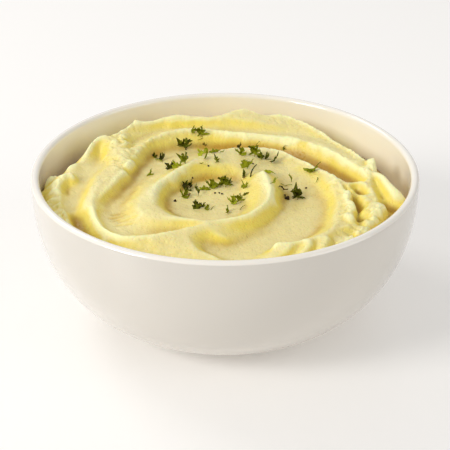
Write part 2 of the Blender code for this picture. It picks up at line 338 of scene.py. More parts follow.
mashShape = {
    "cells": 296,  # along each side of the surface's grid
    "half": 78,  # mm from the middle to the side of the square plan
    "step": 0.5,  # mm from cell to cell of that plan
    "relaxing": 160,
    "sharp": 1.4,  # cells that a crest and a soft line are rounded over
    "round": 3.6,
    # level beside the bowl's wall, every 15 degrees from +X
    "edge": (45, 45, 46.5, 48, 49, 49.5, 50, 49, 48, 46.5, 46, 48,
             50.5, 51, 52, 53, 53.5, 54, 54.5, 55, 55, 54, 53.5, 56.5),
    "blend": 0.6,
    "highest": 63.2,
    "bite": 0.00015,  # metres that it reaches into the bowl's wall, so that no line of air shows
    "sideRings": 5,
    "push": 0.35,
    "heap": 0.6,  # how far the slopes are drawn up towards their crests
}

# What the spoon left, as lines of (x, y, level) in mm. The mash is a skin stretched through them
# all: crests, the feet of their walls, floors and hollows. "torn" is how ragged it is along the
# line, from 0 to 1, "soft" how far the line is rounded off and "half" half the width of a flat.
strokes = [
    # the outer curl, from its right end round the back to the front
    {"name": "greatCurl", "torn": (0.4, 0.3, 0.25, 0.25, 0.35, 0.5, 0.4, 0.15, 0.1, 0.15, 0.1), "path": (
        (58, -13, 59.4), (59, -6, 60), (57, 3, 60), (54, 11, 60), (51, 16, 60), (45, 25, 60.2), (37, 32, 60.3),
        (26, 37, 60.3), (16, 40, 60.4), (4, 43, 60.4), (-6, 46, 60.4), (-16, 47, 60.4), (-24, 44, 60.4),
        (-30, 39, 60.4), (-34, 33, 60.4), (-37, 25, 60.3), (-40, 16, 60.2), (-43, 8, 60.2), (-47, 2, 60.3),
        (-51, -4, 60.1), (-53, -13, 59.8), (-53, -21, 59.5), (-52, -29, 59.4), (-50, -38, 59.3),
        (-46, -46, 59.4), (-40, -51, 59.7), (-31, -51.5, 59.9), (-23, -48.5, 60), (-15, -45, 60), (-7, -41.5, 60))},
    {"name": "greatFlank", "soft": 0.5, "path": (
        (57, 27, 58.6), (48, 36, 58.2), (39, 41, 58.2), (29, 45, 58.2), (20, 47, 57.8), (10, 49, 57.2),
        (0, 51, 57), (-10, 52.5, 57), (-20, 53, 57), (-29, 50, 57), (-35, 44, 57), (-40, 37, 57.4), (-43, 30, 58.2))},
    {"name": "ringFloor", "soft": 0.6, "half": 1.5, "path": (
        (54, -2, 54), (49, 7, 51.6), (42, 17, 50.6), (33, 25, 50.6), (22, 32, 51), (9, 35, 52.4), (-6, 36, 53.6),
        (-17, 35, 54.4), (-24, 32, 54.7), (-30, 25, 55), (-35, 13, 55.4), (-38, 2, 55.6), (-41, -10, 55.6))},
    {"name": "channelFloor", "soft": 0.6, "half": 2, "path": (
        (-39, -6, 55.6), (-42, -13, 55.6), (-44.5, -21, 55.6), (-45, -29, 55.8), (-43, -37, 56), (-38, -42, 56.5))},
    {"name": "channelEnd", "soft": 0, "path": (
        (-38, -42.5, 56), (-31, -43.6, 56), (-23, -42.8, 56.3), (-15, -41.6, 57.2), (-9, -40.8, 58.6))},
    {"name": "greatFootLeft", "soft": 0.3, "path": ((-50, -27, 56.2), (-48, -36, 56.3), (-44, -43, 56.6), (-37, -47, 57))},
    {"name": "knife", "soft": 0, "torn": 0, "half": 0.5, "path": (
        (-41, 4, 60.4), (-43, 0.5, 60.3), (-45.5, -5.5, 60), (-48, -11, 59.5), (-50, -16, 59), (-51.5, -21, 58.4))},
    {"name": "knifeFoot", "soft": 0, "half": 0.5, "path": (
        (-39.4, 2, 57.4), (-41.6, -3, 57.2), (-44, -8.5, 57), (-46.6, -14, 56.8), (-48.9, -19.5, 56.6))},

    # the inner curl: its outer crest, then round the pool to the raised end
    {"name": "smallCurl", "torn": (0.4, 0.4, 0.3, 0.3, 0.25, 0.2), "path": (
        (53, -32, 56), (55, -28, 57.6), (56, -23, 59), (55, -18, 59.8), (52, -12, 60.4), (49, -6, 60.6), (45, 1, 60.7),
        (40, 6, 60.7), (36, 11, 60.7), (32, 16, 60.7), (27, 21.5, 60.7), (22, 25, 60.7), (16, 26.5, 60.7), (9, 27, 60.7),
        (1, 26, 60.7), (-4, 23, 60.7))},
    {"name": "smallCurlBack", "torn": 0.15, "path": (
        (-4, 23, 60.7), (-11, 17, 60.8), (-16, 10, 60.8), (-20, 5, 60.8), (-23.5, -0.5, 60.7))},
    {"name": "smallCurlLeft", "soft": 1, "path": (
        (-23.5, -0.5, 60.7), (-26, -8, 60.6), (-27.5, -16, 60.5), (-28, -23, 60.3), (-26, -30, 60.1), (-21, -35.5, 60))},
    {"name": "smallCurlFront", "torn": (0.05, 0.05, 0.05, 0.05, 0.3), "path": (
        (-21, -35.5, 60), (-14, -38, 60), (-4, -39, 60), (4, -37, 60.2), (10, -34, 60.4), (15, -29, 60.8),
        (17.5, -24, 61.2), (19, -19, 61.7), (19, -14, 62.2), (18, -8, 62.7), (16.8, -3, 63), (15.5, 1.2, 63.1))},
    {"name": "smallFlankBack", "soft": 0.5, "path": (
        (30, 22, 57.6), (22, 29, 57.4), (12, 31.5, 57), (0, 30, 57), (-9, 25, 57.2), (-17, 18, 57.4), (-24, 9, 57.6), (-28, 1, 58))},
    {"name": "smallShoulder", "soft": 0.9, "path": (
        (-21, 1, 60.3), (-28, -7, 60.3), (-32.5, -15, 60), (-35, -23.5, 59.6), (-34, -31, 59.4), (-28, -37, 59.5), (-21, -39, 59.7))},
    {"name": "smallFootLeft", "soft": 0.9, "path": ((-34, -3, 57.6), (-38.5, -13, 57), (-40.5, -22, 56.8), (-39.5, -31, 56.8), (-35, -38, 57))},
    {"name": "smallBack", "soft": 0.8, "path": ((-18, 4.5, 60.8), (-12, 13.5, 61), (-5, 18.5, 61), (2, 20, 60.8), (9, 20, 60.2))},
    {"name": "poolTop", "soft": 1, "path": ((-20.5, -3, 59.6), (-17, 4, 59.8), (-12, 9.5, 59.9), (-6, 12, 60), (0, 12.5, 59.8), (6, 11, 59.4))},
    {"name": "poolFoot", "soft": 0.4, "path": (
        (8, -22, 55.6), (2, -29, 55.4), (-6, -31, 55.2), (-15, -29, 55.1), (-21, -24, 54.9), (-23.5, -17, 54.6),
        (-24, -11.5, 54.4), (-21.5, -5.5, 54.3), (-18, -1, 54.3), (-13, 4, 54.4), (-8, 6, 54.6), (-2, 6, 54.9), (3.5, 4, 55.4),
        (6, -1, 56), (6, -8, 56.4), (7, -15, 56.2), (8, -22, 55.6))},
    {"name": "poolFloor", "soft": 1, "half": 3, "path": ((-16, -15, 54.1), (-8, -14, 54.1), (1, -12, 54.5))},
    {"name": "tongueBody", "soft": 0.8, "path": ((15, -19, 60), (14.5, -13, 60.6), (13.6, -8, 61), (12, -3, 60.8))},
    {"name": "behindTongue", "soft": 0.8, "path": ((9, 8, 59), (13, 10, 58.3), (18, 10.5, 57.8), (22, 7, 57.1), (24, 0, 56.3), (25, -8, 55.5))},

    # the dish on the right, open to the front
    {"name": "dishBack", "soft": 0.9, "path": ((16, 19, 59.4), (22, 15, 58.5), (28, 9.5, 57.8), (33, 3.5, 57), (37, -4, 56), (39, -11, 55.4))},
    {"name": "dishFloor", "soft": 1, "half": 2.5, "path": (
        (31, -11, 54.8), (32, -22, 54.4), (29, -33, 54.2), (21, -41, 54), (12, -46, 54), (5, -51, 54), (-1, -53, 54.4), (-5, -52, 55))},
    {"name": "dishFootRight", "soft": 0.6, "path": ((39, -11, 55.4), (40, -20, 55), (38.5, -29, 54.8), (35, -38, 54.6), (30, -46, 54.6), (24, -50, 54.6))},
    {"name": "smallFootFront", "soft": 0.4, "path": ((0, -45.5, 57), (7, -43, 55.6), (13, -38, 54.9), (19, -31, 54.7), (23, -21, 54.8), (24, -12, 55.1))},
    {"name": "dishWallIn", "soft": 0.5, "torn": 0.1, "path": (
        (41.5, -3, 59.8), (44, -11, 59.4), (45, -19, 59.3), (45, -28, 59.3), (44, -37, 59.4), (42, -44, 59.6), (39, -49, 59.8))},
    {"name": "dishTrough", "soft": 0.3, "torn": 0.4, "path": ((44.7, -9, 59.4), (46, -16, 59), (46.6, -24, 58.7), (46.6, -33, 58.6), (45.3, -41, 58.4))},
    {"name": "dishWallOut", "torn": 0.4, "half": 0.5, "path": (
        (46, -6, 60.6), (48.7, -14, 60.6), (49.8, -22, 60.5), (50.3, -30, 60.2), (50, -37, 59.6), (48, -43, 58.6))},
    {"name": "valley", "soft": 0, "path": ((49, -9, 58.2), (51, -13, 56.6), (52.6, -18, 55), (53.4, -23, 53.6), (53.6, -28, 52.6), (53, -34, 52.4))},
    {"name": "arch", "path": ((51, -9, 60.3), (53, -6.5, 60.9), (55.5, -6.5, 61), (57.5, -9.5, 60.6), (58, -14, 59.6))},
    {"name": "archHole", "soft": 0, "path": ((53.2, -8.6, 56.6), (54.6, -10.4, 54.4), (56, -13.4, 53.6))},

    # the front right ridge, the scoop beside it and the flake above the scoop
    {"name": "frontRim", "soft": 0, "torn": (0.1, 0.1, 0.2, 0.3), "path": (
        (19, -56.8, 62), (20.4, -56.4, 60.4), (24, -56, 59.9), (28, -55.3, 60.1), (32, -53.5, 60), (36, -51, 60), (40, -47.5, 59.9))},
    {"name": "frontRimEnd", "soft": 0.2, "torn": 0.2, "path": ((19.5, -56.5, 60.4), (18, -60, 58.4), (14.5, -63, 57.2), (10, -66, 56.2))},
    {"name": "frontRimFoot", "soft": 0.3, "path": ((7, -62, 55), (13, -58, 54.8), (16.5, -54.5, 54.8), (20, -52.5, 54.8), (27, -50, 55))},
    {"name": "flakeOne", "soft": 0, "torn": 0.1, "half": 1, "path": ((24.6, -57.6, 60), (22.6, -61, 59.2), (19, -64.6, 58.2), (14, -67.5, 57.2))},
    {"name": "flakeCrack", "soft": 0, "path": ((29, -57.4, 58.2), (26.6, -61, 57.4), (23.4, -64.6, 56.4), (19, -67.6, 55.6))},
    {"name": "flakeMiddle", "soft": 0, "torn": 0.1, "half": 1, "path": ((32.4, -56, 60.2), (30.8, -60, 59.4), (28, -64, 58.2))},
    {"name": "flakeGap", "soft": 0, "path": ((34.6, -54.6, 58.6), (34, -58.6, 57.4), (31.6, -63, 56.4))},
    {"name": "flakeTwo", "soft": 0, "torn": 0.3, "half": 1, "path": ((38, -52.4, 60.2), (38.2, -56, 59.4), (36.4, -60.4, 58.2))},
    {"name": "flakeGapTwo", "soft": 0, "path": ((41, -50.5, 58.4), (41.6, -54.5, 57), (40, -58.5, 56.4))},
    {"name": "scoopEdge", "soft": 0, "torn": 0.05, "path": (
        (-8, -42.6, 59.6), (-11, -46, 59.5), (-13.5, -49, 59.3), (-14, -53, 59), (-12, -57, 58.6), (-9, -60.5, 58), (-4, -63.5, 57.3), (2, -66, 56.4))},
    {"name": "scoopWall", "soft": 0.2, "path": ((-6.5, -48.6, 56), (-8, -51.5, 55.5), (-7, -55.5, 55), (-2.5, -59.5, 54.6), (5, -62, 54.4))},
    {"name": "flake", "soft": 0, "path": (
        (-10, -44.2, 59.4), (-6.5, -45.2, 58.9), (-3.5, -46.6, 58.4), (-1, -47.9, 57.8), (1.5, -48.2, 56.8))},

    # the rim of torn mash round the back
    {"name": "backRim", "torn": (0.6, 0.5, 0.4, 0.3, 0.2, 0.2, 0.15, 0.25, 0.2, 0.25, 0.4, 0.5), "path": (
        (62, 13, 60.6), (58, 19, 60.6), (54, 25, 60.6), (50, 31.5, 60.8), (46, 38, 61), (42, 44, 61.2), (38, 49.5, 61.4),
        (34, 54.5, 61.6), (30, 58, 61.8), (26, 60.5, 61.9), (22, 60, 61.7), (18, 58.5, 61.3), (14.5, 60.5, 61.8), (11, 64, 62.3),
        (8, 65, 62.6), (4, 63, 62.2), (0, 60, 61.6), (-5, 56.5, 60.9), (-9, 58, 61), (-16, 58.5, 61.1), (-21, 60, 61.5),
        (-27, 58, 61.4), (-31, 54.5, 61), (-35, 53, 61.1), (-39, 53, 61.9), (-41, 54, 63), (-42, 50.5, 61.6), (-44, 47, 61.2),
        (-46.5, 43, 60.9), (-49, 39, 60.6))},
    {"name": "backLedge", "soft": 0.1, "torn": 0.2, "path": (
        (27, 48.5, 59.6), (20, 51, 60.2), (14, 53, 60.6), (8, 55, 60.8), (2, 56.5, 60.8), (-5, 56, 60.7), (-11, 55.2, 60.6),
        (-18, 54.6, 60.5), (-25, 53, 60.2))},
    {"name": "backDip", "soft": 0.6, "torn": 0.2, "path": (
        (57, 16, 59), (52, 25, 58.8), (46, 34, 58.8), (39, 43, 59), (32, 50, 59.6), (24, 54.5, 60.4), (15, 56.5, 60.8))},
    {"name": "backOut", "soft": 0.6, "torn": 0.3, "path": (
        (64, 21, 51), (58, 33, 52), (49, 46, 53), (37, 57, 54.5), (22, 65, 56.5), (8, 69, 57.5), (-8, 66, 57), (-22, 65, 57),
        (-38, 58, 57), (-48, 49, 56.5), (-55, 41, 56.5))},

    # the left: the raised corner, the long smooth channel and the small curl beside the wall
    {"name": "leftCorner", "torn": 0.2, "half": 0.5, "path": (
        (-61, 19, 58), (-59.5, 25, 60.2), (-58, 30, 61.4), (-55.5, 35, 62.2), (-52.5, 36, 62.3), (-50, 32, 61.8), (-49.5, 26, 61), (-50, 20, 60))},
    {"name": "leftCornerHollow", "soft": 0.2, "path": (
        (-54.6, 30.5, 59), (-54.6, 27, 56.8), (-54.6, 22, 56), (-55.4, 17, 56.4), (-56, 12, 57))},
    {"name": "moundRidge", "torn": 0.5, "half": 0.5, "path": ((-50, 36, 61), (-47.5, 31, 61.6), (-45, 26, 61.4), (-43, 20, 61.2), (-42, 14, 60.8))},
    {"name": "moundSpur", "torn": 0.4, "path": ((-47, 42, 61), (-43.5, 38, 61), (-41.5, 33.5, 60.6))},
    {"name": "moundPit", "soft": 0.1, "path": ((-42, 30.5, 58.2), (-43, 29, 58.2))},
    {"name": "leftOut", "soft": 0.4, "path": ((-65, 20, 55.5), (-62, 28, 56), (-59, 36, 56.5))},
    {"name": "longChannel", "soft": 0.9, "half": 2.5, "path": (
        (-55, 14, 57.3), (-57, 8, 57), (-59, 0, 56.8), (-60.5, -9, 56.5), (-61.5, -17, 56.1), (-62, -24, 55.2))},
    {"name": "plateauEdge", "soft": 0.9, "torn": 0.1, "path": (
        (-51, 10, 59.4), (-54, 3, 59.2), (-55.8, -5, 59), (-56.8, -14, 58.9), (-57.5, -22, 58.7), (-58.6, -27, 58))},
    {"name": "pit", "soft": 0.4, "path": ((-60, -27, 53.4), (-58.5, -33, 51.8), (-55, -40, 51), (-50, -47, 51.4), (-44, -54, 52.6))},
    {"name": "lumpC", "soft": 0.3, "torn": 0.3, "path": ((-66.5, 6, 58.4), (-66.5, 10, 59.4), (-64.5, 13.5, 59.6), (-62, 15, 58.6))},
    {"name": "leftCurl", "torn": 0.3, "half": 0.5, "path": (
        (-67.5, -14, 58.6), (-68.8, -7.5, 60), (-67.5, -1.5, 60.8), (-65, 1.3, 61), (-62.4, -0.5, 60.4), (-61.4, -3.5, 59.4))},
    {"name": "leftCurlHole", "soft": 0.2, "path": (
        (-65, -4, 57), (-64.2, -7.5, 55), (-63.4, -11.5, 54.8), (-62.8, -16, 55.4))},
    {"name": "leftRidge", "torn": 0.6, "path": ((-67, -14, 58.4), (-66.5, -20, 58), (-64.5, -26, 57.4), (-62, -32, 56.6), (-59, -38, 55.6))},
    {"name": "leftRim", "soft": 0.3, "torn": 0.7, "path": ((-73.5, -15, 56.6), (-73.5, -9, 57.4), (-72, -4, 58), (-70.5, 0, 58.8), (-68, 2, 59.2))},

    # the right: the torn spine and the smooth lobe beside the wall
    {"name": "spine", "torn": 0.4, "path": (
        (61, 9, 60.8), (60, 5, 60.8), (59.3, 0, 60.5), (59.3, -6, 60.4), (59.8, -12, 60.2), (60.4, -18, 59.9), (60.8, -22.5, 59.2), (59.6, -26, 58))},
    {"name": "spineCrease", "soft": 0, "path": ((61.4, 1, 59.4), (62.4, -5, 58), (63.4, -10, 57), (64.6, -16, 55.6))},
    {"name": "lobe", "soft": 0.4, "half": 2, "path": (
        (63, 2.5, 60.6), (65.6, -2.5, 61.6), (67.4, -8.5, 61.6), (69, -13.5, 61), (70.4, -18, 59.6))},
    {"name": "lobeFoot", "soft": 0, "path": ((64.8, -19.5, 54.8), (67.5, -22.4, 53.8), (71, -24, 53.4))},
    {"name": "rightOut", "soft": 0, "path": ((64, 17, 48), (67.5, 10, 46.5), (70, 3, 45.6), (71.6, -4, 45.6), (72.6, -10, 47.6))},
    {"name": "rightCorner", "soft": 0.3, "torn": 0.8, "path": ((64, -30, 55.6), (58, -38, 55.4), (51, -47, 55.6), (45, -54, 56))},
]
# single lumps: x, y, level of the top, half length, half width, turn in degrees, how torn
lumps = [
    (-46, 29, 61, 6, 4.5, 40, 0.55), (-46, 20, 60.8, 6, 5, 80, 0.5), (-42.5, 12, 60.4, 5, 4, 70, 0.4),
    (-47, 35, 61, 4, 3.5, 0, 0.6), (-72, -8, 57.6, 3.5, 3, 80, 0.7),
    (-70, -20, 57, 4.5, 3.5, 110, 0.7), (-66, -28, 56.6, 4, 3, 120, 0.7), (-72, 1, 57.5, 3.5, 2.5, 90, 0.6),
    (61.6, 9.5, 61.7, 5.4, 3, 75, 0.3), (59, -28, 60.4, 5.6, 4.2, 65, 0.1), (49, -18, 60.9, 3.8, 2.2, 80, 0.4),
    (50, -27, 60.7, 4.2, 2.4, 90, 0.5), (48.6, -36, 60, 3.8, 2.4, 110, 0.5), 
    (56.5, -36, 58.2, 4.6, 3, 45, 0.6), (52, -43, 57.8, 4.4, 2.8, 35, 0.6), (45, -51, 58.2, 5, 2.8, 35, 0.5),
]
# creases that the spoon dragged open in the left floor: x, y, length, heading
wrinkles = [
    (-43.5, -27, 5, 38), (-41.6, -29.4, 6, 30), (-42.8, -32, 5, 34), (-40, -33.6, 6.5, 26), (-41.4, -36.4, 4.5, 30),
    (-37.6, -36.6, 5, 20), (-44.6, -30, 3.5, 44), (-36.4, -33, 4, 24), 
]


def markLine(path):
    # a curve through the path's points, at steps of about a fifth of a millimetre
    path = np.array(path, float)
    length = np.hypot(*np.diff(path[:, :2], axis=0).T).sum()
    shares = np.linspace(0, 1, int(length * 5) + 2)
    return np.stack([along(path[:, k], shares) for k in range(3)], 1), shares


def stretchSkin(fixed, known, blocks):
    # the skin's value at each cell, given it at the known cells: coarse cells first, then finer
    skin = None
    for block in blocks:
        count = len(fixed) // block
        cut = (count, block, count, block)
        size = count * block
        weight = known[:size, :size].reshape(cut).sum((1, 3))
        held = weight > 0
        level = (fixed * known)[:size, :size].reshape(cut).sum((1, 3)) / np.maximum(weight, 1)
        if skin is None:
            skin = np.full((count, count), level[held].mean())
        else:
            index = np.minimum(np.arange(count) * block // lastBlock, len(skin) - 1)
            skin = skin[np.ix_(index, index)]
        for _ in range(mashShape["relaxing"]):
            skin[held] = level[held]
            ring = np.pad(skin, 1, mode="edge")
            skin = (ring[:-2, 1:-1] + ring[2:, 1:-1] + ring[1:-1, :-2] + ring[1:-1, 2:]) / 4
        skin[held] = level[held]
        lastBlock = block
    grown = np.repeat(np.repeat(skin, lastBlock, 0), lastBlock, 1)
    short = len(fixed) - len(grown)
    return np.pad(grown, ((0, short), (0, short)), mode="edge")


def blur(sheet, reach):
    # reach in cells
    span = int(reach * 3) + 1
    weights = np.exp(-0.5 * (np.arange(-span, span + 1) / reach) ** 2)
    weights /= weights.sum()
    for axis in (0, 1):
        padded = np.pad(sheet, [(span, span) if k == axis else (0, 0) for k in (0, 1)], mode="edge")
        size = sheet.shape[axis]
        sheet = sum(w * np.take(padded, range(k, k + size), axis) for k, w in enumerate(weights))
    return sheet


def drawStrokes():
    # the strokes' levels, softness and tornness, drawn on a square plan of the mash
    step, half = mashShape["step"], mashShape["half"]
    count = int(2 * half / step) + 1
    total, level, soft, torn = (np.zeros((count, count)) for _ in range(4))
    for stroke in strokes:
        line, shares = markLine(stroke["path"])
        tears = stroke.get("torn", 0.0)
        tears = np.interp(shares, np.linspace(0, 1, len(tears)), tears) if isinstance(tears, tuple) else tears + 0 * shares
        across = np.gradient(line[:, :2], axis=0)[:, ::-1] * (-1, 1)
        across /= np.maximum(np.hypot(*across.T), 1e-6)[:, None]
        flat = stroke.get("half", 0)
        for shift in np.arange(-flat, flat + 0.01, step):
            cells = np.rint((line[:, :2] + across * shift + half) / step).astype(int)
            cells = tuple(np.clip(cells, 0, count - 1).T[::-1])
            np.add.at(total, cells, 1)
            np.add.at(level, cells, line[:, 2])
            np.add.at(soft, cells, stroke.get("soft", 0.15))
            np.add.at(torn, cells, tears)
    known = total > 0
    level, soft, torn = (sheet / np.maximum(total, 1) for sheet in (level, soft, torn))
    # the mash meets the bowl's wall at its own levels, all the way round
    x, y = np.meshgrid(*[np.arange(count) * step - half] * 2)
    rims = np.hypot(x, y) >= half - 2.5
    edge = mashShape["edge"]
    level[rims] = along(edge + edge[:1], np.degrees(np.arctan2(y, x))[rims] % 360 / 360)
    soft[rims], torn[rims] = 0.2, 0.2
    return level, soft, torn, known | rims


def relief():
    # level and tornness over the square plan
    level, soft, torn, known = drawStrokes()
    level = stretchSkin(level, known, (16, 8, 4, 2, 1))
    soft, torn = (blur(stretchSkin(sheet, known, (16, 8, 4, 2)), 2) for sheet in (soft, torn))
    sharp, round = blur(level, mashShape["sharp"]), blur(level, mashShape["round"])
    level = sharp + (round - sharp) * np.clip(soft, 0, 1)
    step, half = mashShape["step"], mashShape["half"]
    x, y = np.meshgrid(*[np.arange(len(level)) * step - half] * 2)
    for atX, atY, top, longHalf, shortHalf, turn, tears in lumps:
        axis = np.array([math.cos(math.radians(turn)), math.sin(math.radians(turn))])
        ahead = ((x - atX) * axis[0] + (y - atY) * axis[1]) / longHalf
        aside = ((y - atY) * axis[0] - (x - atX) * axis[1]) / shortHalf
        reach = (np.abs(ahead) ** 3 + np.abs(aside) ** 3) ** (1 / 3)
        dome = np.clip(1 - reach**4 / 4, 0, 1)
        lump = 54 + (top - 54 + 0.5 * ahead - 0.7 * aside) * dome
        level = blendUp(level, np.where(dome > 0, lump, level - 5), mashShape["blend"])
        torn = np.maximum(torn, tears * dome)
    return level, torn


def readSheet(sheet, spots):
    # the sheet's value at spots of the plan, between its cells
    place = (spots + mashShape["half"]) / mashShape["step"]
    cell = np.clip(place.astype(int), 0, len(sheet) - 2)
    x, y = (place - cell).T
    j, i = cell.T
    near, far = sheet[i, j] * (1 - x) + sheet[i, j + 1] * x, sheet[i + 1, j] * (1 - x) + sheet[i + 1, j + 1] * x
    return near * (1 - y) + far * y


def noiseAt(spots, scale, seed, octaves=1):
    # spots in mm, scale in waves a mm
    if octaves == 1:
        return np.array([noise.noise(Vector((x * scale + seed, y * scale, seed * 3.7))) for x, y in spots])
    return np.array([noise.fractal(Vector((x * scale + seed, y * scale, seed * 3.7)), 0.7, 2.1, octaves) for x, y in spots])


def blendUp(level, other, soft):
    # the higher of two levels, with the step between them rounded
    overlap = np.clip(soft - np.abs(level - other), 0, soft)
    return np.maximum(level, other) + overlap**2 / (4 * soft)


def roughen(spots, level, torn):
    # an uneven hand everywhere, drag marks round the bowl, then crumbs where the mash is torn
    radius = np.hypot(spots[:, 0], spots[:, 1])
    angle = np.arctan2(spots[:, 1], spots[:, 0])
    level = level + 0.24 * noiseAt(spots, 0.16, 1.3, 3)
    drag = np.stack([radius * 0.55 + 3 * np.sin(angle), angle * 3], 1)
    level += 0.10 * noiseAt(drag, 1.0, 4.2, 2)
    crumbs = noiseAt(spots, 0.30, 7.1, 4)
    for i in np.flatnonzero(torn > 0.04):
        at = Vector(((spots[i, 0] + 1.6 * crumbs[i]) * 0.2, (spots[i, 1] - 1.6 * crumbs[i]) * 0.2, 0.4))
        (nearest, second, *_), (home, *_) = noise.voronoi(at)
        # each torn piece leans its own way, with a groove round it
        lean = (at.x - home.x) * noise.noise(home * 3.1) + (at.y - home.y) * noise.noise(home * 3.1 + Vector((4, 9, 2)))
        piece = math.sin(min(1, (second - nearest) * 2.2) * math.pi / 2) * (0.8 + 2.4 * lean)
        level[i] += torn[i] * (1.3 * (piece - 0.5) + 0.7 * crumbs[i])
    for x, y, length, heading in wrinkles:
        ahead = np.array([math.cos(math.radians(heading)), math.sin(math.radians(heading))])
        past = (spots - (x, y)) @ ahead
        aside = (spots - (x, y)) @ (-ahead[1], ahead[0]) + 0.4 * np.sin(past * 1.3)
        level -= 0.55 * np.exp(-(aside / 0.55) ** 2) * np.clip(1 - (past / length * 2) ** 2, 0, 1)
    return level, torn


def roundGrid(cells):
    # a square grid pulled round, so that its border is a circle and its cells stay even
    line = np.linspace(-1, 1, cells + 1)
    x, y = (axis.ravel() for axis in np.meshgrid(line, line))
    wide = np.abs(x) >= np.abs(y)
    reach = np.where(wide, x, y)
    safe = np.where(reach == 0, 1, reach)
    angle = math.pi / 4 * np.where(wide, y, x) / safe
    spots = np.where(
        wide[:, None],
        np.stack([reach * np.cos(angle), reach * np.sin(angle)], 1),
        np.stack([reach * np.sin(angle), reach * np.cos(angle)], 1),
    )
    count = cells + 1
    index = np.arange(count * count).reshape(count, count)
    faces = np.stack([index[:-1, :-1], index[:-1, 1:], index[1:, 1:], index[1:, :-1]], -1).reshape(-1, 4)
    border = np.concatenate([index[0, :-1], index[:-1, -1], index[-1, :0:-1], index[:0:-1, 0]])
    return spots, faces, border


mashLook = {
    "floor": (0.85, 0.73, 0.31),  # where the spoon ran flat
    # painted shade: steep sides a deeper, more saturated yellow, as shaded mash looks where light bounces between its
    # folds
    "wall": (0.89, 0.72, 0.12),  # steep sides
    # painted shade: folds and the feet of walls darkened to a deep ochre, where shade falls
    "foldShadeTint": (0.52, 0.30, 0.02),  # deep folds
    # painted highlight: pale cream on crests and edges that stand proud, where light catches them
    "crest": (1.0, 0.95, 0.50),  # edges that stand proud
    "roughness": 0.42,
    "translucence": 0.25,
    "reach": 0.0025,  # how far light travels in it
    "grain": 0.0004,
}


def makeMashMaterial():
    look = mashLook
    material, tree, shader = plainMaterial("butteryMash")
    place = addNode(tree, "ShaderNodeTexCoord").outputs["Object"]
    mottle = addNode(tree, "ShaderNodeTexNoise", {"Vector": place, "Scale": 140.0, "Detail": 5.0})
    uneven = addNode(tree, "ShaderNodeMapRange", {
        "Value": mottle.outputs["Fac"], "From Min": 0.3, "From Max": 0.7, "To Min": 0.86, "To Max": 1.14,
    })
    color = (*look["floor"], 1)
    # the floor colour, then painted shade on steep sides and in folds and a painted highlight on crests, each by its
    # own attribute
    for name, tint in (("wallShade", "wall"), ("foldShade", "foldShadeTint"), ("crestHighlight", "crest")):
        amount = addNode(tree, "ShaderNodeAttribute", attribute_name=name).outputs["Fac"]
        share = addNode(tree, "ShaderNodeMath", {0: amount, 1: uneven.outputs["Result"]}, operation="MULTIPLY", use_clamp=True)
        mixed = addNode(tree, "ShaderNodeMix", {"Factor": share.outputs["Value"]}, data_type="RGBA")
        for number, value in ((6, color), (7, (*look[tint], 1))):
            if isinstance(value, bpy.types.NodeSocket):
                tree.links.new(value, mixed.inputs[number])
            else:
                mixed.inputs[number].default_value = value
        color = mixed.outputs[2]
    tree.links.new(color, shader.inputs["Base Color"])
    grain = addNode(tree, "ShaderNodeTexNoise", {"Vector": place, "Scale": 900.0, "Detail": 4.0})
    pores = addNode(tree, "ShaderNodeTexVoronoi", {"Vector": place, "Scale": 700.0})
    pits = addNode(tree, "ShaderNodeMapRange", {
        "Value": pores.outputs["Distance"], "From Min": 0.0, "From Max": 0.35, "To Min": 0.0, "To Max": 1.0,
    })
    rough = addNode(tree, "ShaderNodeMath", {0: grain.outputs["Fac"], 1: pits.outputs["Result"]}, operation="ADD")
    bump = addNode(tree, "ShaderNodeBump", {
        "Height": rough.outputs["Value"], "Distance": look["grain"], "Strength": 0.45,
    })
    tree.links.new(bump.outputs["Normal"], shader.inputs["Normal"])
    wet = addNode(tree, "ShaderNodeMapRange", {
        "Value": mottle.outputs["Fac"], "To Min": look["roughness"] - 0.08, "To Max": look["roughness"] + 0.1,
    })
    tree.links.new(wet.outputs["Result"], shader.inputs["Roughness"])
    shader.inputs["Subsurface Weight"].default_value = look["translucence"]
    shader.inputs["Subsurface Radius"].default_value = (1.0, 0.62, 0.22)
    shader.inputs["Subsurface Scale"].default_value = look["reach"]
    return material


def paint(mesh, spots, torn):
    # painted shade on steep sides and in folds, and a painted highlight on crests: how steep, how deep in a fold and
    # how proud the surface is at each point, for its colour
    count, cells = len(spots), mashShape["cells"]
    normals = np.zeros(len(mesh.vertices) * 3, np.float32)
    mesh.vertices.foreach_get("normal", normals)
    places = np.zeros(len(mesh.vertices) * 3, np.float32)
    mesh.vertices.foreach_get("co", places)
    sheet = places.reshape(-1, 3)[:count, 2].reshape(cells + 1, cells + 1) * 1000
    up = np.clip(normals.reshape(-1, 3)[:count, 2], 0.05, 1).reshape(sheet.shape)
    slope = blur(np.sqrt(1 - up**2) / up, 2.2)
    near, far, wide = blur(sheet, 3), blur(sheet, 7), blur(sheet, 17)
    inside = 1 - smoothStep(np.hypot(spots[:, 0], spots[:, 1]), 70, 74).reshape(sheet.shape)
    looks = {
        # painted shade on steep sides, held back near crests
        "wallShade": smoothStep(slope, 0.15, 0.8) * (1 - 0.8 * smoothStep(sheet - far, 0.2, 1.8)),
        # painted shade: how far a point lies below its wider surroundings, for the darkened fold colour
        "foldShade": smoothStep(wide - sheet, 0.0, 2.6) * smoothStep(slope, -0.05, 0.6),
        # painted highlight on whatever stands above its surroundings
        "crestHighlight": smoothStep(sheet - far, 0.1, 2.0) * 0.9 + smoothStep(sheet - near, 0.05, 0.6) * 0.15,
        "crumbly": torn.reshape(sheet.shape) * (inside > 0.9),
    }
    for name, amount in looks.items():
        values = np.zeros(len(mesh.vertices), np.float32)
        values[:count] = np.clip(amount, 0, 1).ravel()
        mesh.attributes.new(name, "FLOAT", "POINT").data.foreach_set("value", values)


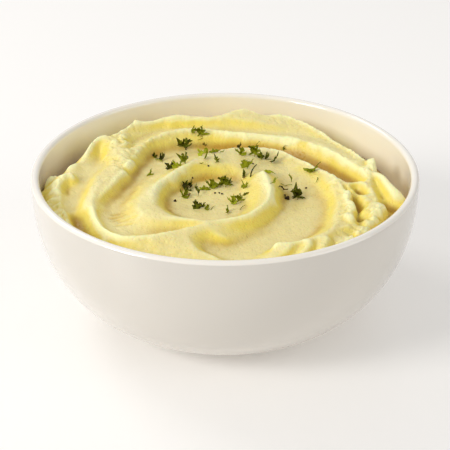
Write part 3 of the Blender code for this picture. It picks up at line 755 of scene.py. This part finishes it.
def makeMash():
    shape = mashShape
    cells = shape["cells"]
    disc, faces, border = roundGrid(cells)
    spots = disc * insideRadius(np.mean(shape["edge"]) / 1000) * 1000
    # the plan is pushed about a little, so that no crest is a clean curve
    push = np.stack([noiseAt(spots, 0.12, 0.2, 2), noiseAt(spots, 0.12, 5.2, 2)], 1) * shape["push"]
    sheet, tears = relief()
    level, torn = readSheet(sheet, spots + push), readSheet(tears, spots + push)
    level, torn = roughen(spots, level, torn)
    level = np.minimum(level, shape["highest"])
    eased = blur(sheet, 4)
    rise = np.stack([readSheet(np.gradient(eased, shape["step"], axis=k), spots) for k in (1, 0)], 1)
    radius = np.hypot(spots[:, 0], spots[:, 1]) / (rimRadius * 1000)
    places = np.zeros((len(spots), 3))
    places[:, :2] = spots + rise * (shape["heap"] * (1 - smoothStep(radius, 0.86, 0.93)))[:, None]
    places[:, 2] = level
    places /= 1000
    rims = places[border]
    wall = insideRadius(rims[:, 2]) + shape["bite"]
    reach = np.hypot(rims[:, 0], rims[:, 1])
    places[border, :2] *= (wall / reach)[:, None]
    # rings down the inside of the bowl, and a middle point to close them
    rows, allFaces = [places], [faces]
    ring, start = border, len(places)
    angles = np.arctan2(places[border, 1], places[border, 0])
    bottom = bowlShape["floor"] + 0.0002
    for k in range(1, shape["sideRings"] + 1):
        drop = math.sin(k / shape["sideRings"] * math.pi / 2)
        z = rims[:, 2] + (bottom - rims[:, 2]) * drop
        r = insideRadius(z) + shape["bite"] * (1 - drop)
        rows.append(np.stack([r * np.cos(angles), r * np.sin(angles), z], 1))
        lower = start + np.arange(len(border))
        allFaces.append(np.stack([ring, lower, np.roll(lower, -1), np.roll(ring, -1)], 1))
        ring, start = lower, start + len(border)
    rows.append(np.array([[0, 0, bottom]]))
    fan = [(int(b), int(a), start) for a, b in zip(ring, np.roll(ring, -1))]
    mesh = bpy.data.meshes.new("mashedPotato")
    quads = [tuple(face) for face in np.concatenate(allFaces).tolist()]
    mesh.from_pydata(np.concatenate(rows).tolist(), [], quads + fan)
    mesh.shade_smooth()
    paint(mesh, spots, torn)
    mash = addPiece("mashedPotato", mesh, makeMashMaterial())
    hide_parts("mashed_potato")
    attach(mash, "root")
    return mash


mash = makeMash()
print("mash shaped,", len(mash.data.polygons), "faces")

# ---------- parsley and pepper

leafShape = {
    "thickness": 0.035,  # of a leaf one unit long
    "rows": 7,
    "crumple": 0.24,
    "teeth": 0.13,
    "stalk": 0.035,
}
# each kind of bit: its lobes as (angle, length), how wide a lobe is, how far it cups and curls up
leafKinds = {
    "fan": {"lobes": ((-56, 0.66), (-8, 1.0), (40, 0.86)), "wide": 27, "cup": 0.3, "curl": 0.9},
    "fanTwo": {"lobes": ((-38, 0.95), (16, 0.8), (66, 0.6)), "wide": 27, "cup": -0.3, "curl": -0.8},
    "five": {"lobes": ((-58, 0.66), (-26, 0.96), (6, 0.9), (36, 1.0), (74, 0.5)), "wide": 19, "cup": 0.5, "curl": 1.4},
    "fiveTwo": {"lobes": ((-44, 0.86), (-12, 0.66), (16, 1.0), (50, 0.62)), "wide": 20, "cup": -0.3, "curl": 1.3},
    "curl": {"lobes": ((-40, 0.9), (20, 1.0), (70, 0.7)), "wide": 32, "cup": 0.3, "curl": 1.5},
    "sliver": {"lobes": ((-12, 0.7), (4, 1.0)), "wide": 12, "cup": 0.1, "curl": 0.6},
}


def thicken(sheet, thickness):
    # a closed leaf from a sheet of points: two skins and the edge between them
    rows, across = sheet.shape[:2]
    skins = np.concatenate([sheet.reshape(-1, 3) + (0, 0, thickness / 2), sheet.reshape(-1, 3) - (0, 0, thickness / 2)])
    index = np.arange(rows * across).reshape(rows, across)
    top = np.stack([index[:-1, :-1], index[1:, :-1], index[1:, 1:], index[:-1, 1:]], -1).reshape(-1, 4)
    under = top[:, ::-1] + rows * across
    loop = np.concatenate([index[0, :-1], index[:-1, -1], index[-1, :0:-1], index[:0:-1, 0]])
    ahead = np.roll(loop, -1)
    edge = np.stack([loop, ahead, ahead + rows * across, loop + rows * across], 1)
    return skins, np.concatenate([top, under, edge])


def leafOf(kind, seed):
    # a leaflet one unit long, fanning out along +X from its stalk
    made, rows = leafKinds[kind], leafShape["rows"]
    spreadOut = max(abs(angle) for angle, _ in made["lobes"]) + made["wide"] * 0.9
    angles = np.linspace(-spreadOut, spreadOut, 12 * len(made["lobes"]) + 1)
    reach = np.full(len(angles), 0.24)
    for angle, length in made["lobes"]:
        reach = np.maximum(reach, length * (1 - ((angles - angle) / made["wide"]) ** 2 * 0.75))
    reach *= 1 + leafShape["teeth"] * np.sin(np.arange(len(angles)) * 2.2 + seed)
    share = np.linspace(0.06, 1, rows)[:, None]
    turn = np.radians(angles)
    x, y = share * reach * np.cos(turn), share * reach * np.sin(turn)
    z = made["cup"] * y**2 * 2 + 0.04 * share * np.cos(turn * 5 + seed)
    bend = made["curl"] * x
    sheet = np.stack([np.sin(bend) / made["curl"], y, z + (1 - np.cos(bend)) / made["curl"]], -1)
    sheet += leafShape["crumple"] * np.stack([
        [[noise.noise(Vector(point * 2.6) + Vector((seed + 9 * k, 0, 0))) for point in row] for row in sheet]
        for k in range(3)
    ], -1)
    return thicken(sheet, leafShape["thickness"])


def stalkOf(path, thick):
    # a square stalk along a path of (x, y, z)
    path = np.array(path, float)
    half = np.linspace(thick, thick * 0.6, len(path))[:, None] / 2
    corners = [path + half * np.array(c) for c in ((0, 1, 1), (0, -1, 1), (0, -1, -1), (0, 1, -1))]
    places = np.stack(corners, 1).reshape(-1, 3)
    faces = []
    for k in range(len(path) - 1):
        for c in range(4):
            faces.append((4 * k + c, 4 * k + (c + 1) % 4, 4 * k + 4 + (c + 1) % 4, 4 * k + 4 + c))
    last = 4 * (len(path) - 1)
    return places, np.array(faces + [(3, 2, 1, 0), (last, last + 1, last + 2, last + 3)])


def sprigOf(seed):
    # a short branching stalk with three leaflets
    parts = [stalkOf([(0, 0, 0), (0.2, 0.02, 0.03), (0.5, -0.02, 0.06)], leafShape["stalk"])]
    for kind, x, y, turn, size in (("five", 0.42, 0.0, 5, 0.6), ("fan", 0.26, 0.02, 62, 0.5), ("fanTwo", 0.2, -0.01, -58, 0.55)):
        places, faces = leafOf(kind, seed + turn)
        swing = Matrix.Rotation(math.radians(turn), 3, "Z") @ Matrix.Rotation(-0.3, 3, "Y")
        parts.append((places * size @ np.array(swing).T + (x, y, 0.04), faces))
    return joinParts(parts)


def joinParts(parts):
    places, faces, start = [], [], 0
    for some, sides in parts:
        places.append(some)
        faces.append(sides + start)
        start += len(some)
    return np.concatenate(places), np.concatenate(faces)


def chipOf(seed, jag, detail):
    # an uneven grain one unit across
    ball = bmesh.new()
    bmesh.ops.create_icosphere(ball, subdivisions=detail, radius=0.5)
    for corner in ball.verts:
        corner.co *= 1 + jag * noise.noise(corner.co * 2.3 + Vector((seed, 0, 0)))
    places = np.array([corner.co[:] for corner in ball.verts])
    faces = np.array([[corner.index for corner in face.verts] for face in ball.faces])
    ball.free()
    return places, faces


def plainMesh(name, places, faces):
    mesh = bpy.data.meshes.new(name)
    mesh.from_pydata(places.tolist(), [], [tuple(face) for face in faces.tolist()])
    sides = bmesh.new()
    sides.from_mesh(mesh)
    bmesh.ops.recalc_face_normals(sides, faces=sides.faces)
    sides.to_mesh(mesh)
    sides.free()
    mesh.shade_smooth()
    return mesh


def lieOn(mash, x, y, heading, tilt, roll):
    # where a bit at (x, y) mm meets the mash, and the turn that lays it there
    found, place, normal, _ = mash.ray_cast(Vector((x / 1000, y / 1000, 1)), Vector((0, 0, -1)))
    ahead = Vector((math.cos(math.radians(heading)), math.sin(math.radians(heading)), 0))
    ahead = (ahead - normal * ahead.dot(normal)).normalized()
    frame = Matrix((ahead, normal.cross(ahead), normal)).transposed()
    turn = frame @ Matrix.Rotation(math.radians(-tilt), 3, "Y") @ Matrix.Rotation(math.radians(roll), 3, "X")
    return place, turn.to_euler()


def setOut(name, sources, rows, material):
    # one piece made of a source for every row: (source, place, turn, size, tint)
    shelf = bpy.data.collections.new(name + "Sources")
    order = sorted(sources)
    for kind in order:
        shelf.objects.link(bpy.data.objects.new(kind, plainMesh(kind, *sources[kind])))
    points = bpy.data.meshes.new(name + "Points")
    points.from_pydata([row[1][:] for row in rows], [], [])
    for key, form, values in (
        ("kind", "INT", [order.index(row[0]) for row in rows]),
        ("turn", "FLOAT_VECTOR", [c for row in rows for c in row[2]]),
        ("size", "FLOAT", [row[3] for row in rows]),
        ("tint", "FLOAT", [row[4] for row in rows]),
    ):
        points.attributes.new(key, form, "POINT").data.foreach_set("vector" if form == "FLOAT_VECTOR" else "value", values)
    holder = bpy.data.objects.new(name, points)
    table.objects.link(holder)
    tree = bpy.data.node_groups.new(name, "GeometryNodeTree")
    tree.interface.new_socket("Geometry", in_out="INPUT", socket_type="NodeSocketGeometry")
    shelfSocket = tree.interface.new_socket("Sources", in_out="INPUT", socket_type="NodeSocketCollection")
    finishSocket = tree.interface.new_socket("Finish", in_out="INPUT", socket_type="NodeSocketMaterial")
    tree.interface.new_socket("Geometry", in_out="OUTPUT", socket_type="NodeSocketGeometry")
    given = addNode(tree, "NodeGroupInput").outputs
    each = addNode(tree, "GeometryNodeCollectionInfo", {"Collection": given["Sources"], "Separate Children": True,
                                                       "Reset Children": True})

    def held(key, form):
        return addNode(tree, "GeometryNodeInputNamedAttribute", {"Name": key}, data_type=form).outputs["Attribute"]

    turned = addNode(tree, "FunctionNodeEulerToRotation", {"Euler": held("turn", "FLOAT_VECTOR")})
    laid = addNode(tree, "GeometryNodeInstanceOnPoints", {
        "Points": given["Geometry"], "Instance": each.outputs[0], "Pick Instance": True,
        "Instance Index": held("kind", "INT"), "Rotation": turned.outputs[0], "Scale": held("size", "FLOAT"),
    })
    real = addNode(tree, "GeometryNodeRealizeInstances", {"Geometry": laid.outputs[0]})
    coated = addNode(tree, "GeometryNodeSetMaterial", {"Geometry": real.outputs[0], "Material": given["Finish"]})
    addNode(tree, "NodeGroupOutput", {"Geometry": coated.outputs[0]})
    grower = holder.modifiers.new("setOut", "NODES")
    grower.node_group = tree
    grower[shelfSocket.identifier] = shelf
    grower[finishSocket.identifier] = material
    made = bpy.data.meshes.new_from_object(holder.evaluated_get(bpy.context.evaluated_depsgraph_get()))
    holder.modifiers.clear()
    holder.data = made
    for source in list(shelf.objects):
        bpy.data.objects.remove(source)
    bpy.data.collections.remove(shelf)
    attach(holder, "root")
    return holder


parsleyLook = {
    # from nearly black through dark and mid green to pale, then a dried brown
    "tints": ((0.0, (0.028, 0.024, 0.0)), (0.12, (0.086, 0.096, 0.001)), (0.4, (0.255, 0.275, 0.004)),
              (0.8, (0.46, 0.50, 0.03)), (1.0, (0.18, 0.09, 0.02))),
    "roughness": 0.65,
    "shine": 0.12,
}
# each bit: kind, x and y in mm, length in mm, heading and tilt in degrees, tint from 0 to 1
parsleyBits = [
    ("fan", -15, 45.3, 2.8, 20, 20, 0.35), ("sprig", -10, 42.8, 5.6, 85, 30, 0.36), ("stem", -9.8, 42.5, 2.8, 215, 10, 0.3),
    ("curl", -9.3, 39.6, 1.6, 60, 20, 1.0), ("five", -18, 37, 5.4, 88, 35, 0.12), ("fanTwo", -17.6, 40, 3, 70, 30, 0.2),
    ("curl", -31, 27.6, 2.0, 90, 40, 0.05), ("stem", -31, 27.3, 8.4, -33, 4, 0.1), ("stem", -30, 25.2, 5, -50, 6, 0.45),
    ("fan", -28.5, 25.4, 3.6, 30, 25, 0.05), ("curl", -22.8, 10.8, 3.6, 80, 45, 0.04), ("fiveTwo", -20.8, 8.4, 4.2, 55, 40, 0.4),
    ("stem", -21.6, 5.6, 2.6, -70, 10, 0.2), ("sliver", -33, 7, 4.8, 48, 12, 0.42), ("fanTwo", -32.2, 8, 2.6, 40, 20, 0.38),
    ("stem", -18.6, 9.4, 2.4, 40, 10, 0.1), ("five", -16.8, 12, 4.8, 38, 40, 0.26), ("fiveTwo", -10.4, 17, 4.2, 50, 42, 0.66),
    ("fan", -7.6, 21, 3, 60, 45, 0.4), ("sliver", -11, 11.4, 2.8, -40, 20, 0.3), ("fan", -8.8, 14.6, 2.4, 10, 30, 0.28),
    ("fanTwo", -5.6, 19.5, 3.4, 55, 45, 0.34), ("sliver", -2.4, 20.4, 3.6, -50, 20, 0.44), ("five", -3.8, 13, 2.9, 45, 35, 0.22),
    ("fiveTwo", -17.4, -2, 4.6, 22, 32, 0.06), ("curl", -14.8, 0.2, 3.2, 10, 30, 0.08), ("fan", -16.6, 0.5, 2.6, 120, 40, 0.12),
    ("fan", -17.2, -9.6, 3.8, 75, 38, 0.25), ("curl", -15, -7.6, 1.8, 40, 20, 1.0), ("sliver", -10.6, -8, 5.6, 110, 42, 0.2),
    ("fanTwo", -10.2, -2.6, 4.4, 40, 26, 0.36), ("fan", -5.8, -1.8, 4.2, 80, 46, 0.3), ("fanTwo", -3.2, -1, 3.8, 86, 48, 0.36),
    ("sprig", 0.2, -1.6, 5.4, 82, 46, 0.2), ("five", 1.4, 0.6, 3.4, 60, 40, 0.3), ("curl", 5.6, 26.4, 2.8, 10, 20, 0.0),
    ("fan", 7, 18.5, 4.2, 96, 58, 0.4), ("fiveTwo", 9.2, 9.4, 5.4, 98, 52, 0.6), ("sliver", 9.6, 8.6, 4, 84, 50, 0.5),
    ("sprig", 12.6, 18.4, 6.4, 88, 56, 0.36), ("stem", 13, 25.8, 3.4, 15, 25, 0.3), ("curl", 15, 17.4, 3.4, 40, 30, 0.16),
    ("fan", 17, 18, 3, 15, 25, 0.12), ("five", 20, 15.6, 4.2, -30, 22, 0.12), ("stem", 18.2, 16.8, 2.6, -10, 10, 0.08),
    ("fan", 25.4, 35.6, 1.7, 0, 10, 0.2), ("stem", 26.2, 35.8, 1.8, -20, 10, 0.3), ("fan", 7.4, 4.2, 3.3, 15, 22, 0.14),
    ("stem", 10.6, 0.6, 6.4, 48, 14, 0.06), ("fanTwo", 16, 4.2, 4.6, 24, 26, 0.5), ("sliver", 18.7, -11.6, 4.6, 62, 20, 0.74),
    ("fiveTwo", 7, -6.6, 4.8, 20, 18, 0.32), ("sliver", 27.9, 0.6, 4, 95, 48, 0.36), ("stem", 23.2, -1.6, 2.6, -30, 6, 0.3),
    ("stem", 25, -2.6, 3.2, 28, 10, 0.34), ("sliver", 21.8, -5.4, 5.6, -52, 4, 0.0), ("sliver", 24.4, -9.6, 3, -80, 6, 0.02),
    ("sprig", 29.7, -12.6, 5.2, 92, 42, 0.06), ("five", 28, -9.6, 4.6, 20, 26, 0.12), ("fan", 30.6, -8.6, 3.4, 150, 36, 0.18),
    ("sliver", 32, 8.6, 9.2, -36, 4, 0.46), ("sliver", 34, 6.4, 5, -28, 12, 0.5), ("stem", 37.4, 5.2, 4.6, 35, 16, 0.12),
    ("stem", 38.6, 1.2, 3.4, -108, 8, 0.3), ("fiveTwo", -10.9, -19.8, 4.8, 90, 40, 0.08), ("curl", -11.2, -17.6, 2.6, 60, 30, 0.1),
    ("fan", -8, -20, 2.6, 60, 34, 0.3), ("stem", -5.7, -20.2, 2.8, 50, 12, 0.26), ("curl", 0.8, -24, 2.8, 0, 36, 0.3),
    ("stem", 6, -22.8, 3.4, 46, 12, 0.3), ("fan", 3.2, -16.8, 3.8, 80, 42, 0.42), ("sprig", 6.5, -16.6, 4.2, 104, 40, 0.36),
    ("fanTwo", 7.8, -12.4, 2.4, 60, 30, 0.16),
]
# grains of pepper and tiny flecks of leaf: x, y and width in mm
pepperGrains = [(-20.4, -12.6, 1.1), (-4.1, -5.9, 0.7), (-2.4, -6.2, 0.7), (25.4, -12.2, 1.7), (-1.2, -6.8, 0.8),
                (3.4, 26.6, 0.6), (33.5, -3.7, 0.8), (11.9, 13.3, 0.6), (-13.6, 5, 0.7), (-7, 10.8, 0.7),
                (-11.6, 0.2, 0.6), (-18.9, 30.2, 0.5)]


def makeParsley(mash):
    material, tree, shader = plainMaterial("choppedParsley")
    tint = addNode(tree, "ShaderNodeAttribute", attribute_name="tint").outputs["Fac"]
    place = addNode(tree, "ShaderNodeTexCoord").outputs["Object"]
    veins = addNode(tree, "ShaderNodeTexNoise", {"Vector": place, "Scale": 800.0, "Detail": 3.0})
    uneven = addNode(tree, "ShaderNodeMapRange", {
        "Value": veins.outputs["Fac"], "From Min": 0.3, "From Max": 0.7, "To Min": -0.14, "To Max": 0.14,
    })
    mixed = addNode(tree, "ShaderNodeMath", {0: tint, 1: uneven.outputs["Result"]}, operation="ADD", use_clamp=True)
    tree.links.new(ramp(tree, mixed.outputs["Value"], parsleyLook["tints"]), shader.inputs["Base Color"])
    shader.inputs["Roughness"].default_value = parsleyLook["roughness"]
    shader.inputs["Specular IOR Level"].default_value = parsleyLook["shine"]
    sources = {kind: leafOf(kind, 3.1 * number) for number, kind in enumerate(leafKinds)}
    sources["sprig"] = sprigOf(7.3)
    sources["stem"] = stalkOf([(0, 0, 0), (0.25, 0.05, 0.04), (0.5, 0.07, 0.05), (0.75, 0.04, 0.04), (1, -0.04, 0)], 0.07)
    rows = []
    for number, (kind, x, y, length, heading, tilt, shade) in enumerate(parsleyBits):
        spot, turn = lieOn(mash, x, y, heading, tilt, 14 * math.sin(number * 2.4))
        rows.append((kind, spot + Vector((0, 0, 0.0001)), turn, length / 1000, shade))
    return setOut("choppedParsley", sources, rows, material)


def makePepper(mash):
    material, _, shader = plainMaterial("blackPepper")
    shader.inputs["Base Color"].default_value = (0.034, 0.018, 0.007, 1)
    shader.inputs["Roughness"].default_value = 0.8
    shader.inputs["Specular IOR Level"].default_value = 0.15
    sources = {"grain": chipOf(1.7, 0.7, 2), "grainTwo": chipOf(6.2, 0.9, 2)}
    rows = []
    for number, (x, y, width) in enumerate(pepperGrains):
        spot, turn = lieOn(mash, x, y, 50 * number, 0, 0)
        rows.append((sorted(sources)[number % 2], spot + Vector((0, 0, width / 5000)), turn, width / 1000, 0))
    return setOut("pepperGrains", sources, rows, material)


parsley = makeParsley(mash)
pepper = makePepper(mash)
print("parsley and pepper set out,", len(parsley.data.polygons), "and", len(pepper.data.polygons), "faces")

# ---------- the surface that it stands on

# the floor glows a little though it is no lamp: painted light that lifts the shadows round the bowl and lights its
# underside from below
floorLook = {"size": 6.0, "color": (0.81, 0.80, 0.79), "glow": 0.21, "glowTint": (1.0, 0.95, 0.88)}


def makeFloor():
    mesh = bpy.data.meshes.new("tabletop")
    sheet = bmesh.new()
    bmesh.ops.create_grid(sheet, x_segments=2, y_segments=2, size=floorLook["size"] / 2)
    sheet.to_mesh(mesh)
    sheet.free()
    material, _, shader = plainMaterial("paleTabletop")
    shader.inputs["Base Color"].default_value = (*floorLook["color"], 1)
    shader.inputs["Roughness"].default_value = 0.35
    shader.inputs["Emission Color"].default_value = (*floorLook["glowTint"], 1)
    shader.inputs["Emission Strength"].default_value = floorLook["glow"]
    top = addPiece("tabletop", mesh, material)


makeFloor()
